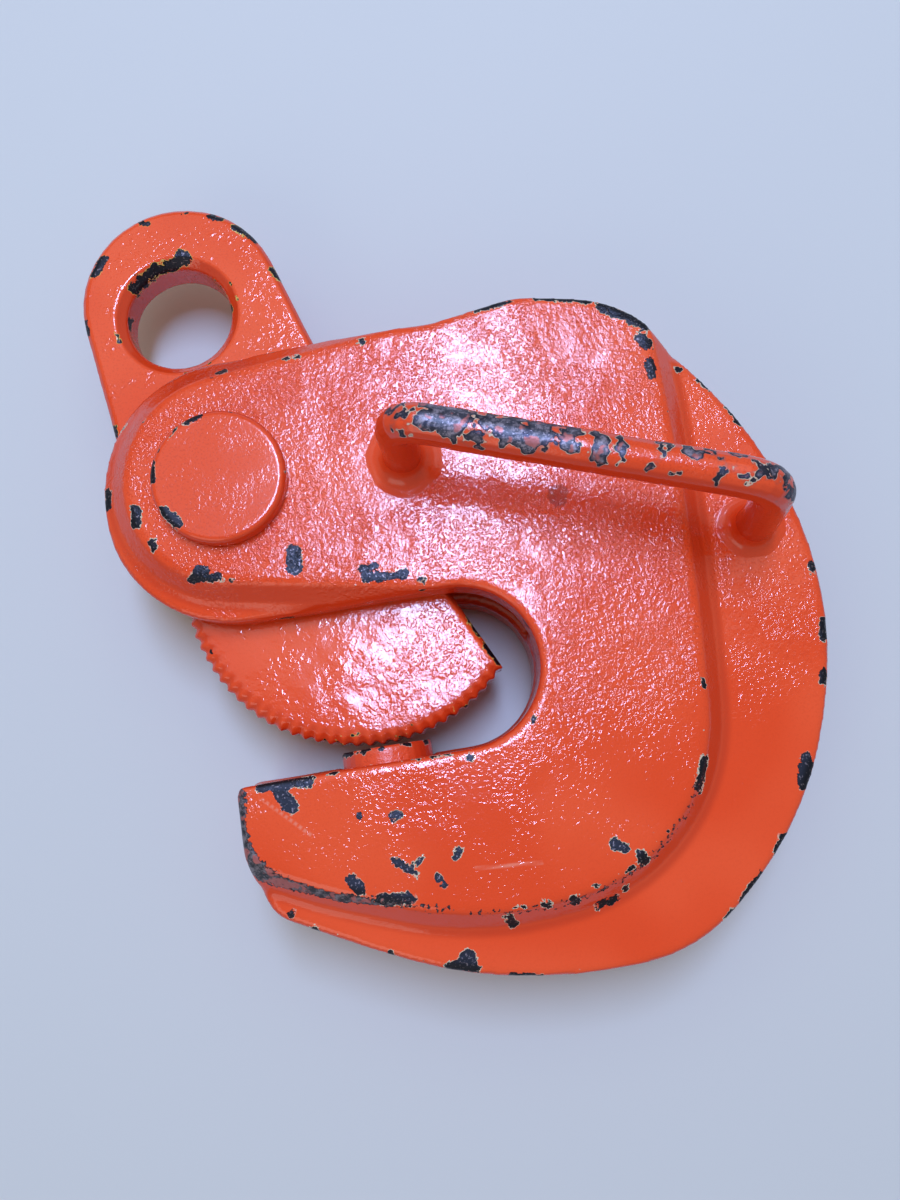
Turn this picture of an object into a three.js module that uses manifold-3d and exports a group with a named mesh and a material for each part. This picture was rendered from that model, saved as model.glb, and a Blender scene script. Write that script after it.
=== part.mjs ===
// Plate lifting clamp: a forged C-shaped body with a slot between two cheeks, a one-piece lever
// (lifting eye above, toothed cam below) swinging on a headed pivot pin, a round swivelling jaw
// on the lower arm, and a bent carrying handle welded to the front.
//
// Millimetres. +Z runs along the pivot pin from the back face to the front, +X along the lower
// jaw towards the spine, +Y from the lower jaw to the lifting eye. The origin is on the pin's
// axis, in the plane of the back face that the clamp lies on.

import * as THREE from 'three';
import { mergeVertices } from 'three/addons/utils/BufferGeometryUtils.js';
import Module from 'manifold-3d';

const wasm = await Module();
wasm.setup();

// ---------------------------------------------------------------- driving dimensions
const GAP = 0.3; // clearance between neighbouring pieces
const CHORD_ERROR = 0.12; // how far a straight facet may leave its arc
const DEG = Math.PI / 180;

// Levels through the thickness
const BODY_THICK = 66;
const MID = BODY_THICK / 2;
const STEP_HEIGHT = 9; // the raised field stands this far above the rim, front and back
const SLOPE_WIDTH = 9; // width of the slope between field and rim
const RIM_FRONT = BODY_THICK - STEP_HEIGHT;
const SLOT_WIDTH = 26;
const LEVER_THICK = 22;

// Body outline
const PIVOT_ROUND = 52.4; // rounded end of the upper arm
const THROAT_RADIUS = 31;
const JAW_Y = -119; // flat top of the lower arm
const THROAT_X = 111.5; // deepest point of the throat
const SLOT_REACH = 135.5; // the slot's floor, from the pivot: clears the cam's nose
const SLOT_CEILING = 40; // the slot's upper wall; its corner stops the lever fully open

// Pivot
const PIN_RADIUS = 16;
const PIN_HEAD_RADIUS = 25.8;
const PIN_HEAD_HEIGHT = 8;
const PIN_HEAD_EDGE = 1.5; // chamfer of the head
const PIN_HEAD_CROWN = 0.3; // the head's middle stands this much higher
const PIN_GROOVE = 1.4; // depth of the snap ring's groove
const PIN_TIP_EDGE = 0.8;
const BUSH_WALL = 3.1;
const WASHER_THICK = 1.4;
const WASHER_RADIUS = 33;
const REAR_POCKET_RADIUS = 24.3;
const REAR_POCKET_DEPTH = 8;
const CLIP_THICK = 1.8;
const REAR_WASHER_THICK = 3.5;

// Lever
const EYE_CENTRE = new THREE.Vector2(-12, 89.6);
const EYE_RADIUS = 42.5;
const EYE_HOLE_CENTRE = new THREE.Vector2(-13.8, 82.9);
const EYE_HOLE_RADIUS = 22.5;
const EYE_HOLE_FLARE = 4.2;
const HUB_RADIUS = 42;
const LEVER_BEVEL = 2.4;
const CAM_CENTRE = new THREE.Vector2(45.2, -39.9);
const CAM_RADIUS = 72;
const CAM_SHOULDER = new THREE.Vector2(73.9, -38.5);
const SHOULDER_ROUND = 12;
const CAM_NOSE_ANGLE = -43.3; // from the cam's centre
const TOOTH_COUNT = 32;
const TOOTH_DEPTH = 2.3;

// Swivelling jaw
const JAW_X = 45.4;
const JAW_PAD_RADIUS = 18.4;
const JAW_PAD_PROUD = 6.8; // stands above the lower arm
const JAW_SEAT_DEPTH = 2;
const JAW_STEM_RADIUS = 9;
const JAW_STEM_LENGTH = 31;
const JAW_PIN_DEPTH = 24; // retaining pin below the jaw surface
const JAW_PIN_RADIUS = 3;
const JAW_GROOVE_RADIUS = 6.2;
const JAW_TOOTH_COUNT = 6;
const JAW_TOOTH_DEPTH = 1.1;
const JAW_PIN_X = JAW_X + JAW_GROOVE_RADIUS + JAW_PIN_RADIUS + 0.4;

// Carrying handle: round bar, both feet welded on, legs leaning slightly
const BAR_RADIUS = 7.5;
const BAR_AXIS_Z = 107;
const BAR_BEND = 14; // how far before its corner each bend starts
const KNEE_BEND = 3;
const FOOT_STRAIGHT = 14;
const LEFT_WELD_RADIUS = 15.5;
const RIGHT_WELD_RADIUS = 14;
const WELD_HEIGHT = 11;
const WELD_LIP = 0.8; // least width, at the top, and least height, at the toe
const LEFT_FOOT = new THREE.Vector3(72, -3.5, BODY_THICK + GAP);
const RIGHT_FOOT = new THREE.Vector3(203.3, -51.4, RIM_FRONT + GAP);
const BAR_LEFT = new THREE.Vector3(70.3, -0.4, BAR_AXIS_Z);
const BAR_RIGHT = new THREE.Vector3(200.8, -46.8, BAR_AXIS_Z);

// ---------------------------------------------------------------- materials
function paint(name, color, roughness = 0.32) {
  return new THREE.MeshStandardMaterial({ name, color, roughness, metalness: 0 });
}

function metal(name, color, roughness) {
  return new THREE.MeshStandardMaterial({ name, color, roughness, metalness: 0.9 });
}

// ---------------------------------------------------------------- outline helpers
// All angles are in degrees.
function polar(centre, radius, angle) {
  return new THREE.Vector2(
    centre.x + radius * Math.cos(angle * DEG),
    centre.y + radius * Math.sin(angle * DEG),
  );
}

// Points of an arc about a centre, in either direction.
function arc(centre, radius, from, to) {
  const sweep = to - from;
  const step = 2 * Math.acos(1 - CHORD_ERROR / radius) / DEG;
  const count = Math.max(2, Math.ceil(Math.abs(sweep) / step));
  return Array.from(
    { length: count + 1 },
    (_, i) => polar(centre, radius, from + (sweep * i) / count),
  );
}

// Closed outline through corners [x, y, radius]; each corner is rounded to its radius.
function rounded(corners) {
  const at = corners.map(([x, y]) => new THREE.Vector2(x, y));
  return corners.flatMap(([, , radius = 0], i) => {
    if (radius === 0) return [at[i]];
    const arrive = at[i].clone().sub(at.at(i - 1)).normalize();
    const leave = at[(i + 1) % at.length].clone().sub(at[i]).normalize();
    const turn = Math.atan2(arrive.cross(leave), arrive.dot(leave));
    const reach = radius * Math.tan(Math.abs(turn) / 2);
    const side = Math.sign(turn);
    const start = at[i].clone().addScaledVector(arrive, -reach);
    const toCentre = new THREE.Vector2(-arrive.y, arrive.x).multiplyScalar(side * radius);
    const from = Math.atan2(-toCentre.y, -toCentre.x) / DEG;
    return arc(start.clone().add(toCentre), radius, from, from + turn / DEG);
  });
}

function circle(x, y, radius) {
  return arc(new THREE.Vector2(x, y), radius, 0, 360).slice(1);
}

// ---------------------------------------------------------------- solid helpers
// Prism between two levels. A bevel narrows its end faces; bevelOut keeps the given outline on
// the end faces and widens the middle instead.
function prism(points, bottom, top, { bevel = 0, bevelHeight = bevel, bevelOut = 0 } = {}) {
  const size = bevel || bevelOut;
  const height = bevelOut ? bevelHeight || bevelOut : bevelHeight;
  const geometry = new THREE.ExtrudeGeometry(new THREE.Shape(points), {
    depth: top - bottom - 2 * height,
    bevelEnabled: size > 0,
    bevelThickness: height,
    bevelSize: size,
    bevelOffset: bevelOut ? 0 : -size,
    bevelSegments: 1,
  });
  return geometry.translate(0, 0, bottom + height);
}

// Solid of revolution about +Z from [radius, z] pairs that start and end on the axis, or a
// closed loop of pairs for a ring.
function turned(profile, segments = 40) {
  const points = profile.map(([radius, z]) => new THREE.Vector2(radius, z));
  return new THREE.LatheGeometry(points, segments).rotateX(Math.PI / 2);
}

function ring(inner, outer, bottom, top, segments = 40) {
  const loop = [[inner, bottom], [outer, bottom], [outer, top], [inner, top], [inner, bottom]];
  return turned(loop, segments);
}

// Cylinder along +Z between two levels.
function bar(x, y, radius, bottom, top) {
  return prism(circle(x, y, radius), bottom, top);
}

function solid(geometry) {
  const bare = geometry.clone();
  bare.deleteAttribute('normal');
  bare.deleteAttribute('uv');
  const merged = mergeVertices(bare, 1e-4);
  return new wasm.Manifold(new wasm.Mesh({
    numProp: 3,
    vertProperties: new Float32Array(merged.attributes.position.array),
    triVerts: new Uint32Array(merged.index.array),
  }));
}

function geometryOf(manifold) {
  const mesh = manifold.getMesh();
  const geometry = new THREE.BufferGeometry();
  geometry.setAttribute('position', new THREE.BufferAttribute(mesh.vertProperties, 3));
  geometry.setIndex(new THREE.BufferAttribute(mesh.triVerts, 1));
  geometry.computeVertexNormals();
  return geometry;
}

function cut(base, ...tools) {
  const result = tools.reduce((left, tool) => left.subtract(solid(tool)), solid(base));
  return geometryOf(result);
}

const clamp = new THREE.Group();
clamp.name = 'plate_lifting_clamp';

function add(name, geometry, material) {
  const mesh = new THREE.Mesh(geometry, material);
  mesh.name = name;
  clamp.add(mesh);
  return mesh;
}

// ---------------------------------------------------------------- body
const rimOutline = rounded([
  [-50.2, 53, PIVOT_ROUND],
  [50, 53, 80],
  [92, 50.4, 60],
  [127, 55.9, 30],
  [166, 48, 45],
  [206, 2, 165],
  [232.5, -71, 141],
  [207, -164, 141],
  [150.5, -207, 72],
  [77, -210.5, 187],
  [-4, -168.9, 14],
  [-11, -150, 30],
  [-11, JAW_Y, 3],
  [THROAT_X, JAW_Y, THROAT_RADIUS],
  [THROAT_X, JAW_Y + 2 * THROAT_RADIUS, THROAT_RADIUS],
  [-50.2, -55, PIVOT_ROUND],
]);

// Edge of the raised field. Along the top edge and inside the throat it runs past the body's
// own outline, so there the wall is as high as the field.
const fieldOutline = rounded([
  [-38.4, 38.4, 41.3],
  [176.4, 60.6],
  [179.4, -41.6, 980],
  [163.3, -170.3, 69.5],
  [77, -182.3, 135],
  [21.3, -163.1, 340],
  [-9.5, -147, 9],
  [-9.5, JAW_Y + 9],
  [92, JAW_Y + 9, 18],
  [92, -58.6, 9],
  [-38.4, -33.1, 41.3],
]);

// Slot between the cheeks: open to the left, above the eye and into the throat.
const slotOutline = [
  new THREE.Vector2(-75, 75),
  new THREE.Vector2(41.6, 75),
  new THREE.Vector2(53, SLOT_CEILING),
  ...arc(new THREE.Vector2(), SLOT_REACH, Math.asin(SLOT_CEILING / SLOT_REACH) / DEG, -38),
  new THREE.Vector2(-75, -90),
];

function bodyGeometry() {
  const blank = solid(prism(rimOutline, 0, BODY_THICK));
  const field = solid(prism(fieldOutline, 0, BODY_THICK, {
    bevelOut: SLOPE_WIDTH,
    bevelHeight: STEP_HEIGHT,
  }));
  const slab = [[-90, 90], [260, 90], [260, -240], [-90, -240]]
    .map(([x, y]) => new THREE.Vector2(x, y));
  const frontMargin = solid(prism(slab, RIM_FRONT, BODY_THICK + 5)).subtract(field);
  const backMargin = solid(prism(slab, -5, STEP_HEIGHT)).subtract(field);
  const slot = prism(slotOutline, MID - SLOT_WIDTH / 2, MID + SLOT_WIDTH / 2);
  const pinBore = bar(0, 0, PIN_RADIUS + GAP, -5, BODY_THICK + 5);
  const rearPocket = bar(0, 0, REAR_POCKET_RADIUS, -5, REAR_POCKET_DEPTH);
  const jawBore = turned([
    [0, -JAW_STEM_LENGTH - GAP],
    [JAW_STEM_RADIUS + GAP, -JAW_STEM_LENGTH - GAP],
    [JAW_STEM_RADIUS + GAP, -JAW_SEAT_DEPTH],
    [JAW_PAD_RADIUS + GAP, -JAW_SEAT_DEPTH],
    [JAW_PAD_RADIUS + GAP, 5],
    [0, 5],
  ]);
  const jawPinHole = bar(
    JAW_PIN_X, JAW_Y - JAW_PIN_DEPTH, JAW_PIN_RADIUS + GAP, -5, MID + 15,
  );
  return geometryOf(
    blank
      .subtract(frontMargin)
      .subtract(backMargin)
      .subtract(solid(slot))
      .subtract(solid(pinBore))
      .subtract(solid(rearPocket))
      .subtract(solid(onJawAxis(jawBore)))
      .subtract(solid(jawPinHole)),
  );
}

// Turns a shape made about +Z so that its axis stands on the lower arm, pointing up (+Y).
function onJawAxis(geometry) {
  return geometry.rotateX(-Math.PI / 2).translate(JAW_X, JAW_Y, MID);
}

add('body', bodyGeometry(), paint('enamel_body', 0xe4401f));

// ---------------------------------------------------------------- lever
// Teeth run clockwise round the cam from its nose to the point below the hub.
function toothPoints() {
  const root = CAM_RADIUS - TOOTH_DEPTH;
  const pitch = (CAM_NOSE_ANGLE + 180) / TOOTH_COUNT;
  return Array.from({ length: TOOTH_COUNT }, (_, i) => [
    polar(CAM_CENTRE, CAM_RADIUS, CAM_NOSE_ANGLE - i * pitch),
    polar(CAM_CENTRE, root, CAM_NOSE_ANGLE - (i + 0.5) * pitch),
  ]).flat();
}

function leverOutline() {
  const leftTangent = 180 + Math.asin(-EYE_CENTRE.x / EYE_CENTRE.length()) / DEG;
  const shoulderLine = CAM_SHOULDER.clone().sub(EYE_CENTRE);
  const rightTangent = shoulderLine.angle() / DEG - 360
    + Math.acos(EYE_RADIUS / shoulderLine.length()) / DEG;
  const teeth = toothPoints();
  const heel = new THREE.Vector2(CAM_CENTRE.x - CAM_RADIUS, CAM_CENTRE.y);
  const heelAngle = 360 - Math.acos(heel.x / HUB_RADIUS) / DEG;
  const shoulder = rounded([
    polar(EYE_CENTRE, EYE_RADIUS, rightTangent).toArray(),
    [...CAM_SHOULDER.toArray(), SHOULDER_ROUND],
    teeth[0].toArray(),
  ]);
  return [
    ...arc(EYE_CENTRE, EYE_RADIUS, leftTangent, rightTangent),
    ...shoulder.slice(1, -1),
    ...teeth,
    heel,
    ...arc(new THREE.Vector2(), HUB_RADIUS, heelAngle, leftTangent),
  ];
}

function leverGeometry() {
  const bottom = MID - LEVER_THICK / 2;
  const top = MID + LEVER_THICK / 2;
  const plate = prism(leverOutline(), bottom, top, { bevel: LEVER_BEVEL });
  const flare = EYE_HOLE_RADIUS + EYE_HOLE_FLARE;
  const eyeHole = turned([
    [0, bottom - 1],
    [flare + 1, bottom - 1],
    [EYE_HOLE_RADIUS, bottom + EYE_HOLE_FLARE],
    [EYE_HOLE_RADIUS, top - EYE_HOLE_FLARE],
    [flare + 1, top + 1],
    [0, top + 1],
  ], 48).translate(EYE_HOLE_CENTRE.x, EYE_HOLE_CENTRE.y, 0);
  const hubBore = bar(0, 0, PIN_RADIUS + BUSH_WALL + 2 * GAP, bottom - 5, top + 5);
  return cut(plate, eyeHole, hubBore);
}

add('cam_lever', leverGeometry(), paint('enamel_lever', 0xe4401f));

// ---------------------------------------------------------------- pivot
const rearWasherBottom = REAR_POCKET_DEPTH - GAP - REAR_WASHER_THICK;
const clipBottom = rearWasherBottom - GAP - CLIP_THICK;
const grooveRadius = PIN_RADIUS - PIN_GROOVE;

function pinGeometry() {
  const headBottom = BODY_THICK + GAP;
  const headTop = BODY_THICK + PIN_HEAD_HEIGHT;
  return turned([
    [0, 0],
    [PIN_RADIUS - PIN_TIP_EDGE, 0],
    [PIN_RADIUS, PIN_TIP_EDGE],
    [PIN_RADIUS, clipBottom - GAP],
    [grooveRadius, clipBottom - GAP],
    [grooveRadius, clipBottom + CLIP_THICK + GAP],
    [PIN_RADIUS, clipBottom + CLIP_THICK + GAP],
    [PIN_RADIUS, headBottom],
    [PIN_HEAD_RADIUS, headBottom],
    [PIN_HEAD_RADIUS, headTop - PIN_HEAD_EDGE - PIN_HEAD_CROWN],
    [PIN_HEAD_RADIUS - PIN_HEAD_EDGE, headTop - PIN_HEAD_CROWN],
    [0, headTop],
  ], 56);
}

function clipGeometry() {
  const top = clipBottom + CLIP_THICK;
  const inner = grooveRadius + GAP;
  const outer = PIN_RADIUS + 2.8;
  const mouth = 14;
  const lugAngle = 20;
  const lugReach = 19;
  const lugRadius = 3;
  const lugHole = 1.1;
  const origin = new THREE.Vector2();
  const band = prism([
    ...arc(origin, outer, mouth, 360 - mouth),
    ...arc(origin, inner, 360 - mouth, mouth),
  ], clipBottom, top);
  const lugs = [lugAngle, -lugAngle].map((angle) => polar(origin, lugReach, angle));
  const joined = lugs.reduce(
    (left, lug) => left
      .add(solid(bar(lug.x, lug.y, lugRadius, clipBottom, top)))
      .subtract(solid(bar(lug.x, lug.y, lugHole, clipBottom - 1, top + 1))),
    solid(band),
  );
  return geometryOf(joined);
}

const leverBack = MID - LEVER_THICK / 2;
const leverFront = MID + LEVER_THICK / 2;
const boreRadius = PIN_RADIUS + GAP;

add('pivot_pin', pinGeometry(), paint('enamel_pin', 0xe8482a, 0.28));
add(
  'cam_bushing',
  ring(boreRadius, boreRadius + BUSH_WALL, leverBack + GAP, leverFront - GAP),
  metal('bronze', 0xb08d57, 0.4),
);
add(
  'thrust_washer_front',
  ring(boreRadius, WASHER_RADIUS, leverFront + GAP, leverFront + GAP + WASHER_THICK),
  metal('washer_steel', 0x9a9a9c, 0.4),
);
add(
  'thrust_washer_back',
  ring(boreRadius, WASHER_RADIUS, leverBack - GAP - WASHER_THICK, leverBack - GAP),
  metal('washer_steel', 0x9a9a9c, 0.4),
);
add(
  'pin_retaining_washer',
  ring(boreRadius, REAR_POCKET_RADIUS - 0.8, rearWasherBottom, REAR_POCKET_DEPTH - GAP),
  metal('plated_steel', 0xa7a59c, 0.45),
);
add('pin_circlip', clipGeometry(), metal('spring_steel', 0x3a3b3f, 0.4));

// ---------------------------------------------------------------- swivelling jaw
// Round pad with ring-shaped teeth, turning on a stem held by a cross pin in its groove.
function swivelJawGeometry() {
  const crown = JAW_PAD_RADIUS - 1;
  const pitch = crown / JAW_TOOTH_COUNT;
  const face = Array.from({ length: JAW_TOOTH_COUNT }, (_, i) => [
    [crown - i * pitch, JAW_PAD_PROUD],
    [crown - (i + 0.5) * pitch, JAW_PAD_PROUD - JAW_TOOTH_DEPTH],
  ]).flat();
  const grooveHalf = JAW_PIN_RADIUS + 0.5;
  return onJawAxis(turned([
    [0, -JAW_STEM_LENGTH],
    [JAW_STEM_RADIUS - 1, -JAW_STEM_LENGTH],
    [JAW_STEM_RADIUS, -JAW_STEM_LENGTH + 1],
    [JAW_STEM_RADIUS, -JAW_PIN_DEPTH - grooveHalf],
    [JAW_GROOVE_RADIUS, -JAW_PIN_DEPTH - grooveHalf],
    [JAW_GROOVE_RADIUS, -JAW_PIN_DEPTH + grooveHalf],
    [JAW_STEM_RADIUS, -JAW_PIN_DEPTH + grooveHalf],
    [JAW_STEM_RADIUS, -JAW_SEAT_DEPTH + GAP],
    [JAW_PAD_RADIUS, -JAW_SEAT_DEPTH + GAP],
    [JAW_PAD_RADIUS, JAW_PAD_PROUD - 1],
    ...face,
    [0, JAW_PAD_PROUD],
  ], 36));
}

// Slotted spring pin, driven in from the back face.
function jawPinGeometry() {
  const centre = new THREE.Vector2(JAW_PIN_X, JAW_Y - JAW_PIN_DEPTH);
  return prism([
    ...arc(centre, JAW_PIN_RADIUS, 12, 348),
    ...arc(centre, JAW_PIN_RADIUS - 1.2, 348, 12),
  ], 2, MID + 15 - GAP);
}

add('swivel_jaw', swivelJawGeometry(), paint('enamel_jaw', 0xd83d1e, 0.4));
add('jaw_roll_pin', jawPinGeometry(), metal('spring_steel', 0x3a3b3f, 0.4));

// ---------------------------------------------------------------- carrying handle
// Centre line: a short upright foot, a leaning leg, a bend, the grip, and back down.
function handlePath() {
  const leftKnee = LEFT_FOOT.clone().setZ(LEFT_FOOT.z + FOOT_STRAIGHT);
  const rightKnee = RIGHT_FOOT.clone().setZ(RIGHT_FOOT.z + FOOT_STRAIGHT);
  const path = new THREE.CurvePath();
  const corners = [
    [leftKnee, KNEE_BEND],
    [BAR_LEFT, BAR_BEND],
    [BAR_RIGHT, BAR_BEND],
    [rightKnee, KNEE_BEND],
  ];
  let from = LEFT_FOOT;
  corners.forEach(([corner, reach], i) => {
    const next = i + 1 < corners.length ? corners[i + 1][0] : RIGHT_FOOT;
    const before = corner.clone().add(from.clone().sub(corner).setLength(reach));
    const after = corner.clone().add(next.clone().sub(corner).setLength(reach));
    path.add(new THREE.LineCurve3(from, before));
    path.add(new THREE.QuadraticBezierCurve3(before, corner, after));
    from = after;
  });
  path.add(new THREE.LineCurve3(from, RIGHT_FOOT));
  return path;
}

function handleGeometry() {
  const section = new THREE.Shape(circle(0, 0, BAR_RADIUS));
  return new THREE.ExtrudeGeometry(section, { steps: 64, extrudePath: handlePath() });
}

// Fillet weld round a foot: a ring with a hollow, trumpet-shaped flank.
function weldGeometry(foot, outer) {
  const inner = BAR_RADIUS + GAP;
  const flank = Array.from({ length: 6 }, (_, i) => {
    const rise = i / 5;
    const width = (outer - inner - WELD_LIP) * (1 - rise) ** 2 + WELD_LIP;
    return [inner + width, WELD_LIP + rise * (WELD_HEIGHT - WELD_LIP)];
  });
  const loop = [[inner, 0], [outer, 0], ...flank, [inner, WELD_HEIGHT], [inner, 0]];
  return turned(loop, 36).translate(foot.x, foot.y, foot.z);
}

add('handle_bar', handleGeometry(), paint('enamel_handle', 0xdb3f1c, 0.35));
add(
  'handle_weld_left',
  weldGeometry(LEFT_FOOT, LEFT_WELD_RADIUS),
  paint('enamel_weld', 0xd63c1b, 0.4),
);
add(
  'handle_weld_right',
  weldGeometry(RIGHT_FOOT, RIGHT_WELD_RADIUS),
  paint('enamel_weld', 0xd63c1b, 0.4),
);

export default clamp;
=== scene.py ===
"""Looks of the plate lifting clamp: a rounded, slightly uneven forging with a chipped enamel coat.

Every large piece is a finer copy of its CAD solid: evenly spaced points, rounded corners and a
forged skin, replaced one for one. Lengths are in millimetres, and MM turns them into the scene's
metres; only the floor's and the lights' are written in metres.
"""

import math

import bmesh
import bpy
import numpy as np
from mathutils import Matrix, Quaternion, Vector, kdtree, noise


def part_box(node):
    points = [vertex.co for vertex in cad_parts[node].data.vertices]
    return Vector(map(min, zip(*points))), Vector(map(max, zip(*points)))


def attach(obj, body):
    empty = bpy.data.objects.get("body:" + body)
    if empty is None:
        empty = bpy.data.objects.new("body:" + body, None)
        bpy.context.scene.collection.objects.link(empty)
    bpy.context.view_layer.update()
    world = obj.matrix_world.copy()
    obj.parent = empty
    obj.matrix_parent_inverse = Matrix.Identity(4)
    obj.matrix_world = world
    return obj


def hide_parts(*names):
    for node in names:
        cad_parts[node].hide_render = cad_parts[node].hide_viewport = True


MM = 0.001
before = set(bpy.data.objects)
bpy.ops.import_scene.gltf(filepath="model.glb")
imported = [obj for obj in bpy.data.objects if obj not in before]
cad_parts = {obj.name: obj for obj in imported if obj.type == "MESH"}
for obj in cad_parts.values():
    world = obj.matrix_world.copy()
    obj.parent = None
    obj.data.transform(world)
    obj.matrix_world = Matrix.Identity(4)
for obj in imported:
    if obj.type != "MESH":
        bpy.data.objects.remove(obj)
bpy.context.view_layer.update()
scene = bpy.context.scene

# ------------------------------------------------------------------ driving values
SHARP_ANGLE = math.radians(28)  # a solid's edge that turns more than this is a real corner
CORNER_STEP = 0.7  # spacing of the points that stand for a corner
MERGE = 0.01  # points of a solid closer than this are one point
BACK_STEP = 1.04  # relaxing that keeps the size moves back this many times as far as in
FAR = 30.0  # distances are stored up to this
CHIP_SQUASH = 0.35  # how much a chip's depth counts beside its place
FIELD, SLOPE, RIM = 66, 62, 57  # heights of the body's raised field, slope and outer rim
SEAM_HEIGHT = 0.9  # parting line of the forging dies
SEAM_WIDTH = 1.8
PIN_HEAD_DEPTH = 9.0  # the pin's head lies within this from its top
PIN_HEAD_FILL = 1.03  # paint makes up for what rounding takes off the head
BAR_RADIUS = 7.5  # carrying handle
GRIP_FOOT, GRIP_TOP = 80.0, 95.0  # the handle's wear begins between these heights
PALM = (0.0, 0.25, 0.97)  # the side of the handle that a hand rubs most
CAMERA_AT = (78.9, -119.5, 446.7)
CAMERA_TURN = (8.53, 1.13, -9.50)  # degrees
BODY_SEED = 1  # of the body's uneven skin, which the welds follow
FLOOR_GAP = 0.6  # the floor lies this much lower than zero, clear of the uneven skin

# Uneven skins, as [(wavelength, height), ...].
FORGED = [(45, 0.42), (17, 0.15), (7, 0.07)]
SMOOTH_FORGED = [(40, 0.2), (12, 0.08)]
BENT_BAR = [(30, 0.35), (9, 0.16)]

# Colours are linear RGB.
ENAMEL = (0.86, 0.064, 0.010)
# The coat's colour with painted shade, used on slopes, walls, inner corners and pits.
ENAMEL_PAINTED_SHADE = (0.62, 0.034, 0.006)
ENAMEL_PALE = (0.92, 0.090, 0.022)
BARE_STEEL = (0.022, 0.024, 0.036)
BARE_STEEL_LIGHT = (0.22, 0.185, 0.21)
OLD_COAT = (0.66, 0.58, 0.42)
OLD_YELLOW = (0.72, 0.52, 0.12)
SCUFF = (0.20, 0.075, 0.065)
SCRATCH = (0.92, 0.30, 0.20)
STAIN = (0.24, 0.035, 0.035)
# Thin paint left on the worn handle; its pink tint is a painted sheen.
LEFT_PAINT_WITH_SHEEN = (0.50, 0.13, 0.12)
HANDLE_STEEL = (0.040, 0.042, 0.070)
HANDLE_STEEL_LIGHT = (0.29, 0.25, 0.31)
FLOOR = (0.62, 0.63, 0.62)


# ------------------------------------------------------------------ mesh tools
def read_vectors(mesh, key):
    flat = np.empty(len(mesh.vertices) * 3, np.float32)
    mesh.vertices.foreach_get(key, flat)
    return flat.reshape(-1, 3).astype(float)


def read_points(mesh):
    return read_vectors(mesh, "co")


def read_normals(mesh):
    return read_vectors(mesh, "normal")


def write_points(mesh, points):
    mesh.vertices.foreach_set("co", points.astype(np.float32).ravel())
    mesh.update()


def read_edges(mesh):
    flat = np.empty(len(mesh.edges) * 2, np.int32)
    mesh.edges.foreach_get("vertices", flat)
    return flat.reshape(-1, 2)


def store(mesh, **layers):
    """Keeps named numbers for the material to read: one for each point, or one for all."""
    for name, values in layers.items():
        layer = mesh.attributes.get(name) or mesh.attributes.new(name, "FLOAT", "POINT")
        layer.data.foreach_set("value", np.full(len(mesh.vertices), values, np.float32))


def read_layer(mesh, name):
    values = np.empty(len(mesh.vertices), np.float32)
    mesh.attributes[name].data.foreach_get("value", values)
    return values


def evened(node, voxel):
    """A closed mesh of a CAD node's solid with points about one voxel apart."""
    copy = bpy.data.objects.new("copy_of_" + node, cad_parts[node].data.copy())
    scene.collection.objects.link(copy)
    remesh = copy.modifiers.new("remesh", "REMESH")
    remesh.mode = "VOXEL"
    remesh.voxel_size = voxel * MM
    remesh.use_smooth_shade = True
    graph = bpy.context.evaluated_depsgraph_get()
    mesh = bpy.data.meshes.new_from_object(copy.evaluated_get(graph))
    bpy.data.objects.remove(copy)
    mesh.materials.clear()
    return mesh


def corner_points(node):
    """Points along the real corners of a CAD node: outer corners and inner corners."""
    work = bmesh.new()
    work.from_mesh(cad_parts[node].data)
    bmesh.ops.remove_doubles(work, verts=work.verts, dist=MERGE * MM)
    outer, inner = [], []
    for edge in work.edges:
        if len(edge.link_faces) != 2:
            continue
        turn = edge.calc_face_angle_signed()
        if abs(turn) < SHARP_ANGLE:
            continue
        start, end = (v.co.copy() for v in edge.verts)
        count = max(1, round((end - start).length / (CORNER_STEP * MM)))
        line = [start.lerp(end, i / count) for i in range(count + 1)]
        (outer if turn > 0 else inner).extend(line)
    work.free()
    return outer, inner


def distance_to(targets, points):
    """Distance in mm, up to FAR, from points in metres to the nearest target in metres."""
    if not targets:
        return np.full(len(points), FAR)
    tree = kdtree.KDTree(len(targets))
    for i, target in enumerate(targets):
        tree.insert(target, i)
    tree.balance()
    found = np.array([tree.find(p)[2] for p in points])
    return np.minimum(found / MM, FAR)


def relaxed(points, edges, share, rounds, keep_size=False):
    """Moves each point towards the mean of its neighbours, by its share, several times.

    With keep_size each round also moves them back, a little further, so round parts don't shrink.
    """
    a, b = edges[:, 0], edges[:, 1]
    total = len(points)
    degree = np.bincount(a, minlength=total) + np.bincount(b, minlength=total)
    weight = np.broadcast_to(share, (total,))[:, None]
    steps = [1.0, -BACK_STEP] if keep_size else [1.0]
    for step in steps * rounds:
        mean = np.stack(
            [
                np.bincount(a, points[b, k], total) + np.bincount(b, points[a, k], total)
                for k in range(3)
            ],
            axis=1,
        ) / degree[:, None]
        points = points + step * weight * (mean - points)
    return points


def skin(points, waves, seed):
    """Uneven height in mm at points in metres, from [(wavelength, height), ...] in mm."""
    # Each seed reads another part of the same noise.
    shift = Vector((seed * 7.31, seed * 3.17, seed * 5.53))
    height = np.zeros(len(points))
    for wavelength, amount in waves:
        scale = 1 / (wavelength * MM)
        height += amount * np.array([noise.noise(Vector(p) * scale + shift) for p in points])
    return height


def ease(values, low, high):
    """Rises smoothly from 0 at low to 1 at high."""
    t = np.clip((values - low) / (high - low), 0, 1)
    return t * t * (3 - 2 * t)


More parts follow.
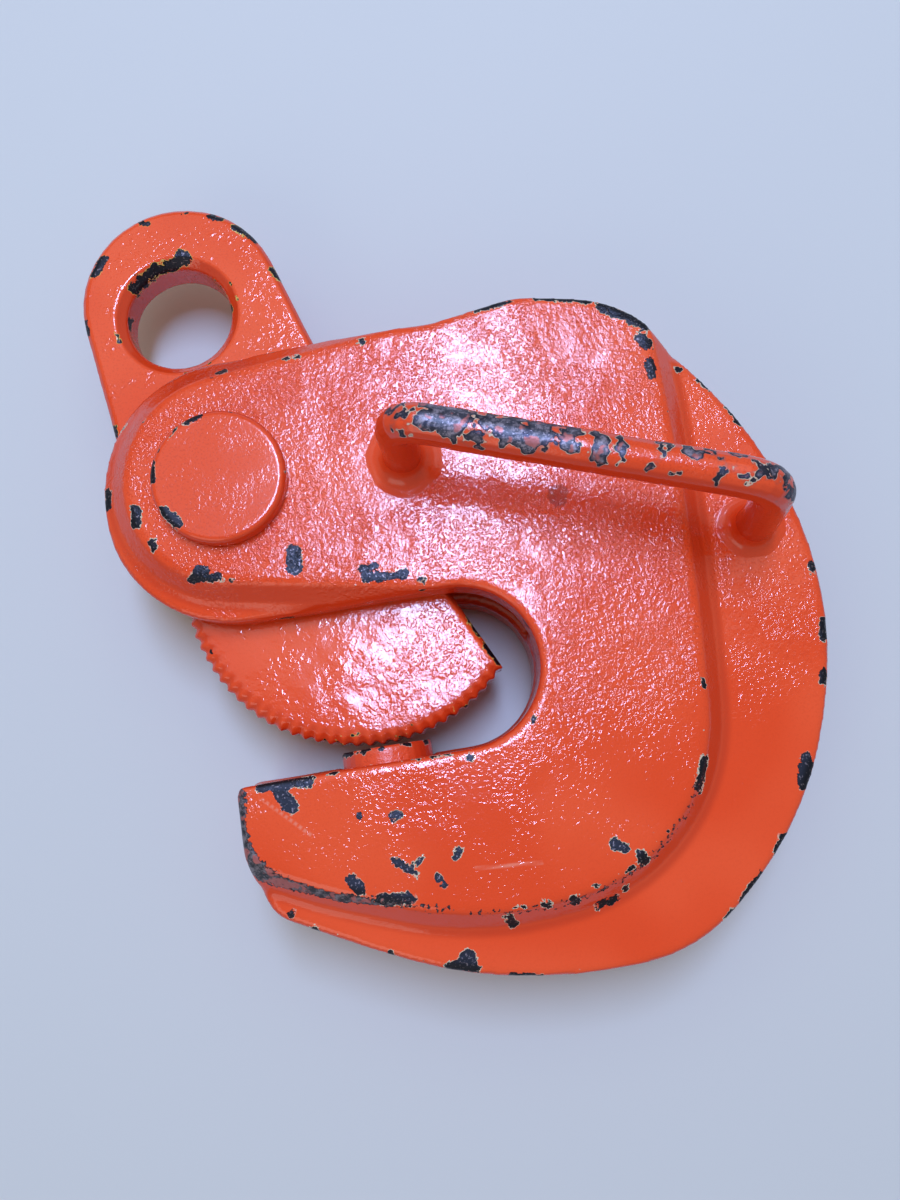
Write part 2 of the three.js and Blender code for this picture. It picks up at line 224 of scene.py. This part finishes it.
def capsule_distance(points, start, end, radius):
    """Signed distance in mm from points in mm to a capsule round a segment."""
    start, end = np.array(start, float), np.array(end, float)
    along = end - start
    length_squared = max(along @ along, 1e-9)
    t = np.clip((points - start) @ along / length_squared, 0, 1)
    return np.linalg.norm(points - start - t[:, None] * along, axis=1) - radius


def line_distance(points, line):
    """Distance in mm from points in mm to a line through several corners."""
    legs = [capsule_distance(points, a, b, 0) for a, b in zip(line, line[1:])]
    return np.minimum.reduce(legs)


def chip_field(points, chips):
    """Signed distance in mm from points in metres to the nearest chip.

    chips are [(start, end, radius), ...] in mm. Depth counts less than the place seen from
    above, so a chip also runs down a wall or slope.
    """
    field = np.full(len(points), FAR)
    squash = np.array([1, 1, CHIP_SQUASH])
    flat = points / MM * squash
    for start, end, radius in chips:
        field = np.minimum(field, capsule_distance(flat, start * squash, end * squash, radius))
    return field


def piece(mesh, name, body, node):
    """Shows a mesh as a named piece that rides on a body and stands for a CAD node."""
    mesh.polygons.foreach_set("use_smooth", [True] * len(mesh.polygons))
    mesh.name = name
    obj = bpy.data.objects.new(name, mesh)
    scene.collection.objects.link(obj)
    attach(obj, body)
    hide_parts(node)
    return obj


def forge(node, voxel, name, body, *, corner, seed, root=0.0, waves=FORGED, chips=(),
          base_rounds=2):
    """A finer, rounded and uneven copy of a CAD node that stands for it.

    corner is the width over which outer corners are rounded, and root the same for inner ones.
    base_rounds of relaxing come first and take the voxels' steps away.
    """
    mesh = evened(node, voxel)
    points, edges = read_points(mesh), read_edges(mesh)
    outer, inner = corner_points(node)
    edge_distance = distance_to(outer, points)
    root_distance = distance_to(inner, points)
    points = relaxed(points, edges, 0.5, base_rounds, keep_size=True)
    rounding = 0.6 * np.clip(1 - edge_distance / corner, 0, 1)
    points = relaxed(points, edges, rounding, 3)
    if root:
        filling = 0.6 * np.clip(1 - root_distance / root, 0, 1)
        points = relaxed(points, edges, filling, 10)
    write_points(mesh, points)
    normals = read_normals(mesh)
    points = points + normals * skin(points, waves, seed)[:, None] * MM
    write_points(mesh, points)
    store(
        mesh, edge=edge_distance, root=root_distance, chip=chip_field(points, chips),
        level=np.abs(normals[:, 2]), wear=0, coarse=1,
    )
    return piece(mesh, name, body, node)


# ------------------------------------------------------------------ material tools
class Tree:
    """Short calls for building a material's nodes."""

    def __init__(self, name):
        self.material = bpy.data.materials.new(name)
        self.material.use_nodes = True
        self.nodes = self.material.node_tree.nodes
        self.links = self.material.node_tree.links
        self.nodes.clear()
        self.shader = self.nodes.new("ShaderNodeBsdfPrincipled")
        output = self.nodes.new("ShaderNodeOutputMaterial")
        self.links.new(self.shader.outputs["BSDF"], output.inputs["Surface"])
        self.place = self.nodes.new("ShaderNodeTexCoord").outputs["Object"]

    def feed(self, socket, value):
        if isinstance(value, bpy.types.NodeSocket):
            self.links.new(value, socket)
        else:
            socket.default_value = value

    def math(self, operation, a, b):
        node = self.nodes.new("ShaderNodeMath")
        node.operation = operation
        self.feed(node.inputs[0], a)
        self.feed(node.inputs[1], b)
        return node.outputs[0]

    def span(self, value, low, high, to_low=0.0, to_high=1.0, smooth=True):
        """Maps low..high to to_low..to_high, held at the ends."""
        node = self.nodes.new("ShaderNodeMapRange")
        node.interpolation_type = "SMOOTHSTEP" if smooth else "LINEAR"
        for socket, number in zip(node.inputs, (value, low, high, to_low, to_high)):
            self.feed(socket, number)
        return node.outputs[0]

    def blend(self, share, a, b):
        """The number a where share is 0, b where it is 1."""
        return self.span(share, 0.0, 1.0, a, b, smooth=False)

    def mix(self, share, a, b):
        """The colour a where share is 0, b where it is 1. Sockets 6 and 7 are the colours."""
        node = self.nodes.new("ShaderNodeMix")
        node.data_type = "RGBA"
        self.feed(node.inputs["Factor"], share)
        for socket, colour in zip((node.inputs[6], node.inputs[7]), (a, b)):
            self.feed(socket, (*colour, 1) if isinstance(colour, tuple) else colour)
        return node.outputs[2]

    def noise(self, wavelength, detail=2.0, rough=0.5):
        """Noise with features about wavelength mm apart."""
        node = self.nodes.new("ShaderNodeTexNoise")
        node.inputs["Scale"].default_value = 1 / (wavelength * MM)
        node.inputs["Detail"].default_value = detail
        node.inputs["Roughness"].default_value = rough
        self.feed(node.inputs["Vector"], self.place)
        return node.outputs["Fac"]

    def stored(self, name):
        node = self.nodes.new("ShaderNodeAttribute")
        node.attribute_name = name
        return node.outputs["Fac"]

    def bump(self, height):
        """Height in mm to the shader's normal."""
        node = self.nodes.new("ShaderNodeBump")
        node.inputs["Distance"].default_value = MM
        self.feed(node.inputs["Height"], height)
        self.feed(self.shader.inputs["Normal"], node.outputs["Normal"])

    def set(self, **values):
        for name, value in values.items():
            self.feed(self.shader.inputs[name.replace("_", " ")], value)


def chip_outline(tree, grain, pebble):
    """What is added to a distance in mm to make a chip's outline ragged."""
    waves = tree.math("ADD", tree.math("MULTIPLY", pebble, 3.4), tree.math("MULTIPLY", grain, 1.2))
    return tree.math("SUBTRACT", waves, 2.3)


def corner_strip(tree, patches, flecks, share, width):
    """Width in mm of the bare strip along corners: long stretches and short specks, or below 0."""
    low = 0.66 - 0.3 * share
    stretches = tree.span(patches, low, low + 0.14, -3.0, width, smooth=False)
    specks = tree.span(flecks, 0.66 - 0.2 * share, 0.70, -3.0, width, smooth=False)
    return tree.math("MAXIMUM", stretches, specks)


def paint_colour(tree, pits, ragged, marked):
    """Painted shade: the coat is made darker on slopes, on walls, in inner corners and in pits."""
    broad = tree.noise(55, detail=1)
    paint = tree.mix(tree.span(broad, 0.35, 0.65), ENAMEL, ENAMEL_PALE)
    # Painted shade, darkest on steep faces, near inner corners and in pits.
    slope_shade = tree.span(tree.stored("level"), 0.95, 0.62, 0.0, 0.75)
    corner_shade = tree.span(tree.stored("root"), 3.5, 0.0, 0.0, 0.6)
    painted_shade = tree.math("MAXIMUM", tree.math("MAXIMUM", slope_shade, corner_shade), tree.blend(pits, 0.0, 0.4))
    paint = tree.mix(painted_shade, paint, ENAMEL_PAINTED_SHADE)
    if marked:
        paint = tree.mix(tree.span(tree.stored("scratch"), 1.1, 0.2, 0.0, 0.6), paint, SCRATCH)
        stain = tree.math("ADD", tree.stored("stain"), ragged)
        paint = tree.mix(tree.span(stain, 0.4, -0.6, 0.0, 0.5), paint, STAIN)
    return paint


def enamel_relief(tree, pebble, pits, bare, relief, lump):
    """Height in mm: a nearly level skin with pits and grains, over a slow unevenness."""
    amount = tree.span(tree.stored("level"), 0.6, 0.98, 0.5 * relief, relief)
    walls = tree.span(tree.stored("level"), 0.45, 0.15, 0.0, 0.95 * relief)
    amount = tree.math("MAXIMUM", amount, walls)
    amount = tree.math("MULTIPLY", amount, tree.stored("coarse"))
    amount = tree.math("MULTIPLY", amount, tree.span(tree.noise(15), 0.4, 0.6, 0.35, 1.2))
    lumps = tree.noise(lump, detail=1)
    raised = tree.blend(tree.span(lumps, 0.55, 0.72), 0.0, 0.15)
    sunken = tree.blend(tree.span(lumps, 0.44, 0.30), 0.0, 0.12)
    height = tree.math("SUBTRACT", raised, tree.math("ADD", sunken, tree.blend(pits, 0.0, 0.05)))
    height = tree.math("ADD", height, tree.math("MULTIPLY", pebble, 0.17))
    height = tree.math("MULTIPLY", height, amount)
    return tree.math("SUBTRACT", height, tree.math("MULTIPLY", bare, 0.2))


def enamel(name, *, edge_share, edge_width, relief=1.0, lump=1.7, roughness=0.10, old=OLD_COAT,
           steel=BARE_STEEL, steel_light=BARE_STEEL_LIGHT, crumb=0.0, outlined=0.0,
           marked=False):
    """Glossy orange-red enamel over rough forged steel, chipped at corners and marked places.

    edge_share (0 to 1) says how much of the corners is bare and edge_width how wide the bare
    strips are. relief scales the pitted skin and lump is the size of its bumps. old is the coat
    that shows round a chip. With a crumb, in mm, the wear stored on the mesh breaks the coat up
    into crumbs of that size, and outlined (0 to 1) shows the old coat round them too. marked
    adds the stored scratches and stain.
    """
    tree = Tree(name)
    grain = tree.noise(0.9, detail=1)
    pebble = tree.noise(2.6)
    patches = tree.noise(19, detail=3, rough=0.65)
    flecks = tree.noise(6)
    ragged = chip_outline(tree, grain, pebble)
    pits = tree.math("MULTIPLY", tree.span(grain, 0.47, 0.36), tree.stored("coarse"))

    # How far the point is from bare steel, in mm: negative is bare
    chip = tree.math("ADD", tree.stored("chip"), ragged)
    strip = corner_strip(tree, patches, flecks, edge_share, edge_width)
    corner = tree.math("SUBTRACT", tree.math("ADD", tree.stored("edge"), ragged), strip)
    distance = tree.math("MINIMUM", chip, corner)
    rim = tree.span(distance, 0.40, 0.16)

    # Bare metal, and in worn places a scuffed border and a core with leftovers of the coat
    scuff, core = 0.0, 0.0
    if crumb:
        worn = tree.noise(crumb, detail=2.5, rough=0.55)
        worn = tree.math("SUBTRACT", worn, tree.stored("wear"))
        scuff = tree.span(worn, 0.07, -0.02, 0.0, 0.6)
        core = tree.span(worn, -0.02, -0.11)
        worn = tree.math("MULTIPLY", worn, 2.3 * crumb)
        distance = tree.math("MINIMUM", distance, worn)
        rim = tree.math("MAXIMUM", rim, tree.span(worn, 0.40, 0.16, 0.0, outlined))
    bare = tree.span(distance, 0.1, -0.1)
    mottled = tree.span(tree.noise(2.4, detail=3, rough=0.7), 0.42, 0.66)
    light = tree.math("MAXIMUM", tree.span(grain, 0.58, 0.76), tree.math("MULTIPLY", core, mottled))
    metal_colour = tree.mix(light, steel, steel_light)
    if crumb:
        # Specks of thin paint left in the worn core; their pink tint is a painted sheen.
        left_paint_and_sheen = tree.span(flecks, 0.54, 0.60, 0.0, 0.8)
        metal_colour = tree.mix(tree.math("MULTIPLY", left_paint_and_sheen, core), metal_colour, LEFT_PAINT_WITH_SHEEN)

    rim = tree.math("MULTIPLY", rim, tree.span(patches, 0.41, 0.55))
    colour = tree.mix(scuff, paint_colour(tree, pits, ragged, marked), SCUFF)
    colour = tree.mix(rim, colour, old)
    tree.bump(enamel_relief(tree, pebble, pits, bare, relief, lump))
    tree.set(
        Base_Color=tree.mix(bare, colour, metal_colour),
        Roughness=tree.blend(tree.math("MAXIMUM", bare, scuff), roughness, 0.40),
        Metallic=tree.math("MULTIPLY", bare, tree.blend(core, 0.85, 0.4)),
        IOR=1.65,
    )
    return tree.material


def metal(name, colour, roughness=0.35):
    """Machined or plated metal with fine turning marks and stains."""
    tree = Tree(name)
    marks = tree.noise(0.7, detail=3, rough=0.6)
    stain = tree.noise(9, detail=3)
    dark = tuple(0.45 * c for c in colour)
    tree.set(
        Base_Color=tree.mix(tree.span(stain, 0.45, 0.7, 0.0, 0.7), colour, dark),
        Metallic=0.9,
        Roughness=tree.span(stain, 0.3, 0.7, roughness - 0.08, roughness + 0.15),
    )
    tree.bump(tree.math("MULTIPLY", marks, 0.02))
    return tree.material


def give(obj, material):
    obj.data.materials.clear()
    obj.data.materials.append(material)


# ------------------------------------------------------------------ camera, floor and light
def add_camera():
    """Almost straight above, the way the clamp is seen: top of the picture towards the eye."""
    data = bpy.data.cameras.new("camera")
    data.lens = 30
    data.sensor_width = 36
    camera = bpy.data.objects.new("camera", data)
    camera.location = Vector(CAMERA_AT) * MM
    camera.rotation_euler = [math.radians(a) for a in CAMERA_TURN]
    scene.collection.objects.link(camera)
    scene.camera = camera


def add_floor():
    """A pale round floor, 12 metres across."""
    bpy.ops.mesh.primitive_circle_add(
        vertices=64, radius=6, fill_type="NGON", location=(0.08, -0.05, -FLOOR_GAP * MM)
    )
    floor = bpy.context.object
    floor.name = "floor"
    tree = Tree("floor")
    tree.set(Base_Color=(*FLOOR, 1), Roughness=0.75)
    give(floor, tree.material)


def add_area_light(name, at, aim, size, energy, colour, spin=0):
    """Rectangular soft light; spin turns it about its own line of sight, in degrees."""
    data = bpy.data.lights.new(name, "AREA")
    data.shape = "RECTANGLE"
    data.size, data.size_y = size
    data.energy = energy
    data.color = colour
    light = bpy.data.objects.new(name, data)
    light.location = at
    facing = (Vector(aim) - Vector(at)).to_track_quat("-Z", "Y")
    turn = Quaternion((0, 0, 1), math.radians(spin))
    light.rotation_euler = (facing @ turn).to_euler()
    scene.collection.objects.link(light)


def add_lights():
    """A cool window straight above, a wide dim ceiling behind it, a low fill and a warm room."""
    add_area_light(
        "key", at=(0.16, 0.52, 2.0), aim=(0.16, 0.52, 0.0), size=(0.36, 1.10), energy=38,
        colour=(0.44, 0.60, 1.0), spin=-13,
    )
    add_area_light(
        "ceiling", at=(0.1, 1.15, 2.15), aim=(0.1, 1.15, 0.0), size=(2.6, 2.0), energy=9.5,
        colour=(1.0, 0.94, 0.90),
    )
    add_area_light(
        "fill", at=(-1.0, -1.4, 1.3), aim=(0.1, -0.05, 0.03), size=(1.2, 1.2), energy=4,
        colour=(1.0, 0.93, 0.85),
    )
    world = bpy.data.worlds.new("studio")
    world.use_nodes = True
    background = world.node_tree.nodes["Background"]
    background.inputs["Color"].default_value = (1.0, 0.98, 0.86, 1)
    background.inputs["Strength"].default_value = 0.32
    scene.world = world
    scene.view_settings.view_transform = "Standard"


# ------------------------------------------------------------------ marked chips
# Each is (start, end, radius): bare steel within radius of the line from start to end. A scratch
# script worked out most of these places from points picked by eye, and they were rounded to
# 0.5 mm. The same holds for the scratches, the stain and the rubbed corner further down.
BODY_CHIPS = [
    # rounded end of the upper arm
    ((-35, -5.5, 64), (-35.5, -11.5, 64), 2.0),
    ((-30, -20, FIELD), (-30, -22, FIELD), 1.6),
    ((-17, -36.5, FIELD), (-6, -38, FIELD), 1.7),
    ((-14, -34, FIELD), (-11, -34, FIELD), 1.8),
    ((-48, 6, RIM), (-48.5, -0.5, RIM), 1.7),
    ((4.5, 45.5, SLOPE), (6.5, 45.5, SLOPE), 1.5),
    # upper arm's field
    ((24, -33, FIELD), (23.5, -39, FIELD), 3.0),
    ((49.5, -44, FIELD), (54.5, -44.5, FIELD), 1.8),
    ((50.5, -48, FIELD), (65.5, -49, FIELD), 1.8),
    ((71, -52, FIELD), (72, -52.5, FIELD), 1.2),
    # lower arm's field
    ((46.5, -139, FIELD), (49, -139, FIELD), 1.6),
    ((34, -136.5, FIELD), (34.5, -136.5, FIELD), 1.2),
    ((68.5, -155.5, FIELD), (67.5, -157, FIELD), 1.6),
    ((44.5, -155, FIELD), (51.5, -160.5, FIELD), 1.5),
    ((53.5, -156.5, FIELD), (54.5, -156, FIELD), 1.3),
    ((59.5, -163.5, FIELD), (61, -166.5, FIELD), 1.2),
    ((27, -159, FIELD), (30.5, -163, FIELD), 2.1),
    ((37, -168, FIELD), (48, -169.5, FIELD), 2.2),
    ((78.5, -122, FIELD), (79, -122.5, FIELD), 1.3),
    ((105, -111.5, FIELD), (105, -112, FIELD), 1.4),
    # tip of the lower arm
    ((-1, -120, FIELD), (17.5, -121, FIELD), 2.0),
    ((6, -123.5, FIELD), (9, -128.5, FIELD), 3.0),
    # top edge
    ((62.5, 48, FIELD), (63.5, 48, FIELD), 1.3),
    ((111, 52.5, FIELD), (124.5, 54, FIELD), 1.2),
    ((135, 54, FIELD), (156.5, 49, FIELD), 1.3),
    ((161, 45.5, FIELD), (176.5, 34.5, FIELD), 2.4),
    ((173.5, 29, FIELD), (175, 27, FIELD), 2.6),
    ((175, 19, FIELD), (174.5, 13.5, FIELD), 2.0),
    # outer corner of the rim
    ((188, 17.5, RIM), (188, 17, RIM), 1.3),
    ((196.5, 12, RIM), (199, 8, RIM), 1.8),
    ((205.5, -1, RIM), (208, -8.5, RIM), 1.9),
    ((224, -71, RIM), (223.5, -72.5, RIM), 1.6),
    ((223.5, -93, RIM), (222, -99.5, RIM), 1.8),
    ((218.5, -113, RIM), (218, -115.5, RIM), 1.8),
    ((205.5, -144.5, RIM), (202.5, -152.5, RIM), 2.8),
    ((187.5, -176, RIM), (190.5, -172, RIM), 2.2),
    ((171, -192.5, RIM), (179.5, -184.5, RIM), 2.4),
    ((164.5, -197, RIM), (166.5, -196, RIM), 2.0),
    # slope and its corners, round the spine and the lower arm
    ((164.5, -137.5, SLOPE), (161, -147.5, SLOPE), 2.0),
    ((126, -162.5, FIELD), (129.5, -164.5, FIELD), 1.9),
    ((134.5, -167.5, FIELD), (136, -170, FIELD), 2.0),
    ((127.5, -179, SLOPE), (127.5, -180, SLOPE), 1.5),
    ((117, -184.5, SLOPE), (123.5, -183, SLOPE), 2.0),
    ((107.5, -179.5, SLOPE), (108, -180.5, SLOPE), 1.8),
    ((96.5, -179, SLOPE), (98, -180, SLOPE), 1.6),
    ((82.5, -182, 60), (84, -185.5, 60), 1.8),
    # outer corner below
    ((58, -197, RIM), (67.5, -199, RIM), 1.8),
    ((65, -195, RIM), (66, -196.5, RIM), 3.0),
    ((80.5, -204.5, 55), (90.5, -207, 55), 1.5),
    ((36.5, -190, RIM), (37, -190.5, RIM), 1.8),
    ((9.5, -175.5, RIM), (10.5, -176.5, RIM), 1.3),
    ((1.5, -168.5, RIM), (2.5, -169, RIM), 1.3),
]
LEVER_CHIPS = [
    # flare of the eye
    ((-31.5, 98.5, 43), (-21.5, 106, 43), 2.0),
    ((-21.5, 106, 43), (-10.5, 107, 43), 1.8),
    ((-9, 109.5, 44), (-7, 108, 44), 2.6),
    # outer corner round the eye
    ((-47, 107.5, 43), (-42, 113.5, 43), 2.0),
    ((-23.5, 127.5, 44), (-22, 126.5, 44), 1.5),
    ((6, 125.5, 44), (10, 123.5, 44), 1.5),
    ((16, 118.5, 44), (25, 111, 44), 1.6),
    ((29.5, 97, 44), (32, 92, 44), 1.5),
    ((-54, 86, 42), (-53, 81.5, 42), 1.6),
    ((-47, 37.5, 42), (-46.5, 35, 42), 1.6),
    # nose of the cam
    ((88, -67, 44), (91, -74, 44), 1.6),
    ((93, -79.5, 44), (97, -86, 44), 2.0),
]
PIN_CHIPS = [
    ((-8.5, 23.5, 74), (-3.5, 24.5, 74), 1.6),
    ((-21, -10.5, 74), (-16.5, -16, 74), 1.9),
    ((-24, 10.5, 73), (-24.5, 2.5, 73), 1.3),
]

# Old scratches and one round stain on the body, in the same form.
SCRATCHES = [
    ((-2, -124, FIELD), (15.5, -141, FIELD), 0),
    ((73.5, -162.5, FIELD), (98.5, -164.5, FIELD), 0),
]
STAINS = [((129, -29, FIELD), (129, -27.5, FIELD), 4.0)]

# Corner of the raised field that plates and floors rub: round the lower arm's tip, and from
# there along the arm to the spine.
RUBBED_TIP = [
    (-9, -122, 64), (-10.5, -138, 64), (-8.5, -147, 64), (-4.5, -153.5, 64), (4.5, -158.5, 64),
    (18.5, -164.5, 64), (33, -167.5, 64), (48, -171, 64), (60, -175, 64),
]
RUBBED_END = (-4.5, -152, 64)  # the wear reaches furthest round this point
RUBBED_CORNER = [
    (62, -175, 64), (69, -177, 64), (87, -180, 64), (102, -181, 64), (118, -179, 64),
    (130, -174, 64), (142, -167, 64), (154, -156, 64), (162, -143, 64),
]

# Wear of the handle, as [(share of the way from left to right, wear), ...].
GRIP_WEAR = [
    (0.0, 0.26), (0.06, 0.48), (0.14, 0.60), (0.30, 0.60), (0.38, 0.56), (0.46, 0.51),
    (0.56, 0.48), (0.66, 0.48), (0.76, 0.47), (0.86, 0.49), (0.93, 0.60), (1.0, 0.90),
]


# ------------------------------------------------------------------ pieces
def box_mm(node):
    """Lowest and highest corner of a CAD node's box, in mm."""
    return [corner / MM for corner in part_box(node)]


def parting_line(mesh, points):
    """Raises the trimmed seam of the two forging dies round the walls, at half thickness."""
    low, high = box_mm("body")
    middle = (low.z + high.z) / 2
    normals = read_normals(mesh)
    upright = 1 - ease(np.abs(normals[:, 2]), 0.3, 0.6)
    wander = skin(points * MM, [(25, 0.5)], 7)
    ridge = SEAM_HEIGHT * np.exp(-(((points[:, 2] - middle - wander) / SEAM_WIDTH) ** 2))
    points = points + normals * (ridge * upright)[:, None]
    write_points(mesh, points * MM)
    return points


def scattered_chips(mesh, points):
    """Adds chips of chance to the walls and the back, where none is marked.

    The coat is bare where the chance is above rare, and spread turns the rest into mm.
    """
    rare, spread = 0.72, 14
    front = ease(read_normals(mesh)[:, 2], 0.3, 0.7)
    chance = skin(points * MM, [(60, 0.7), (11, 1.0), (4, 0.25)], 9)
    field = (rare - chance) * spread + front * FAR
    store(mesh, chip=np.minimum(read_layer(mesh, "chip"), field))


def body_wear(points):
    """Plates and floors rub the lower arm's tip and the corner below it bare."""
    from_end = np.linalg.norm(points - RUBBED_END, axis=1)
    reach = 5.0 + 4.0 * np.exp(-((from_end / 12) ** 2))
    tip = 0.76 * (1 - ease(line_distance(points, RUBBED_TIP) / reach, 0.2, 1.0))
    tip *= 1 - 0.36 * ease(points[:, 0], 5, 60)
    corner = 0.42 * (1 - ease(line_distance(points, RUBBED_CORNER), 1.0, 5.0))
    return np.maximum(tip, corner)


def body_coarseness(points):
    """The forging is roughest on the upper arm, smoother on the lower arm and the rim."""
    lower = 1 - 0.78 * ease(-points[:, 1], 88, 145)
    rim = 1 - 0.3 * (1 - ease(points[:, 2], RIM, RIM + 8))
    return lower * rim


def body_forging():
    obj = forge(
        "body", 1.55, "body_forging", "frame",
        corner=1.7, root=2.6, seed=BODY_SEED, chips=BODY_CHIPS,
    )
    mesh = obj.data
    points = parting_line(mesh, read_points(mesh) / MM)
    scattered_chips(mesh, points)
    store(
        mesh, wear=body_wear(points), coarse=body_coarseness(points),
        scratch=chip_field(points * MM, SCRATCHES), stain=chip_field(points * MM, STAINS),
    )
    give(obj, enamel("enamel_body", edge_share=0.5, edge_width=1.0, crumb=1.8, marked=True))


def lever_forging():
    """The lever's forging is smoothest on the left of the cam and roughest on its right."""
    obj = forge(
        "cam_lever", 0.84, "lever_forging", "lever",
        corner=1.4, seed=2, chips=LEVER_CHIPS, base_rounds=1,
    )
    points = read_points(obj.data) / MM
    scattered_chips(obj.data, points)
    cam = ease(-points[:, 1], 0, 30)
    right = ease(points[:, 0], 36, 58)
    store(obj.data, coarse=0.5 - 0.25 * cam + 0.6 * right)
    give(obj, enamel("enamel_lever", edge_share=0.45, edge_width=0.8, old=OLD_YELLOW, lump=2.3))


def pin():
    obj = forge(
        "pivot_pin", 0.6, "pivot_pin_painted", "frame",
        corner=1.2, waves=SMOOTH_FORGED, seed=3, chips=PIN_CHIPS, base_rounds=1,
    )
    points = read_points(obj.data)
    head = points[:, 2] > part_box("pivot_pin")[1].z - PIN_HEAD_DEPTH * MM
    points[head, :2] *= PIN_HEAD_FILL
    write_points(obj.data, points)
    give(obj, enamel("enamel_pin", relief=0.2, edge_share=0.2, edge_width=0.6, roughness=0.16))


def handle():
    """The bent bar, worn where a hand holds it. Gives back its paint, which the welds share."""
    obj = forge(
        "handle_bar", 0.6, "handle_grip", "frame",
        corner=1.0, waves=BENT_BAR, seed=4, base_rounds=8,
    )
    points, normals = read_points(obj.data) / MM, read_normals(obj.data)
    low, high = box_mm("handle_bar")
    along = (points[:, 0] - low.x) / (high.x - low.x)
    facing = np.clip(normals @ np.array(PALM), 0, 1)
    above = ease(points[:, 2], GRIP_FOOT, GRIP_TOP)
    places, wear = zip(*GRIP_WEAR)
    store(obj.data, wear=np.interp(along, places, wear) * (0.45 + 0.55 * facing ** 0.6) * above)
    paint = enamel(
        "enamel_handle", relief=0.3, edge_share=0.0, edge_width=0.0, roughness=0.16,
        steel=HANDLE_STEEL, steel_light=HANDLE_STEEL_LIGHT, crumb=7.5, outlined=0.8,
    )
    give(obj, paint)
    return paint


def weld(node, name, paint, seed, spread):
    """Fillet of weld metal round a foot: it leaves the forging flat and ends along the bar.

    Its foot line follows the forging's uneven skin, has a thin raised lip and reaches spread mm
    past the node's, just below the skin.
    """
    low, high = box_mm(node)
    centre = (low + high) / 2
    outer = (high.x - low.x) / 2 + spread
    around, rings = 96, 30
    circle = [2 * math.pi * i / around for i in range(around)]
    ways = [Vector((math.cos(a), math.sin(a), 0)) for a in circle]
    wander = [1 + 0.22 * noise.noise(way * 1.4 + Vector((seed, 0, 0))) for way in ways]
    feet = [Vector((centre.x, centre.y, low.z)) + way * outer for way in ways]
    ground = skin(np.array(feet) * MM, FORGED, BODY_SEED) - 0.5
    work = bmesh.new()
    loops = []
    for k in range(rings + 1):
        rise = k / rings
        lip = 0.12 * math.exp(-(((rise - 0.16) / 0.05) ** 2))
        loop = []
        for way, uneven, base in zip(ways, wander, ground):
            radius = BAR_RADIUS - 0.4 + (outer - BAR_RADIUS) * (1 - rise) ** 2.8 * uneven
            height = low.z + (high.z - low.z) * rise ** 1.9 + lip + base * (1 - rise) ** 2
            at = Vector((centre.x, centre.y, height)) + way * radius
            loop.append(work.verts.new(at * MM))
        loops.append(loop)
    for below, above in zip(loops, loops[1:]):
        for i in range(around):
            j = (i + 1) % around
            work.faces.new((below[i], below[j], above[j], above[i]))
    work.faces.new(loops[0][::-1])
    work.faces.new(loops[-1])
    mesh = bpy.data.meshes.new(name)
    work.to_mesh(mesh)
    work.free()
    # The weld's stored slope and closeness to a corner give it some of the coat's painted shade all
    # over.
    store(mesh, edge=FAR, root=2.0, chip=FAR, level=0.8, wear=0, coarse=1)
    give(piece(mesh, name, "frame", node), paint)


def jaw():
    obj = forge(
        "swivel_jaw", 0.5, "swivel_jaw_painted", "jaw",
        corner=1.2, waves=SMOOTH_FORGED, seed=5, base_rounds=1,
    )
    give(obj, enamel("enamel_jaw", relief=0.5, edge_share=0.9, edge_width=1.1, roughness=0.3))


def small_metal_parts():
    """The pieces inside and behind keep their CAD shape."""
    bronze = metal("bronze", (0.55, 0.36, 0.16))
    washer_steel = metal("washer_steel", (0.40, 0.40, 0.41))
    plated_steel = metal("plated_steel", (0.46, 0.44, 0.38))
    spring_steel = metal("spring_steel", (0.06, 0.06, 0.065), roughness=0.3)
    finishes = {
        "cam_bushing": bronze,
        "thrust_washer_front": washer_steel,
        "thrust_washer_back": washer_steel,
        "pin_retaining_washer": plated_steel,
        "pin_circlip": spring_steel,
        "jaw_roll_pin": spring_steel,
    }
    for node, material in finishes.items():
        give(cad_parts[node], material)


add_camera()
add_floor()
add_lights()
body_forging()
lever_forging()
pin()
grip_paint = handle()
weld("handle_weld_left", "weld_left", grip_paint, seed=1, spread=2.5)
weld("handle_weld_right", "weld_right", grip_paint, seed=2, spread=1.0)
jaw()
small_metal_parts()
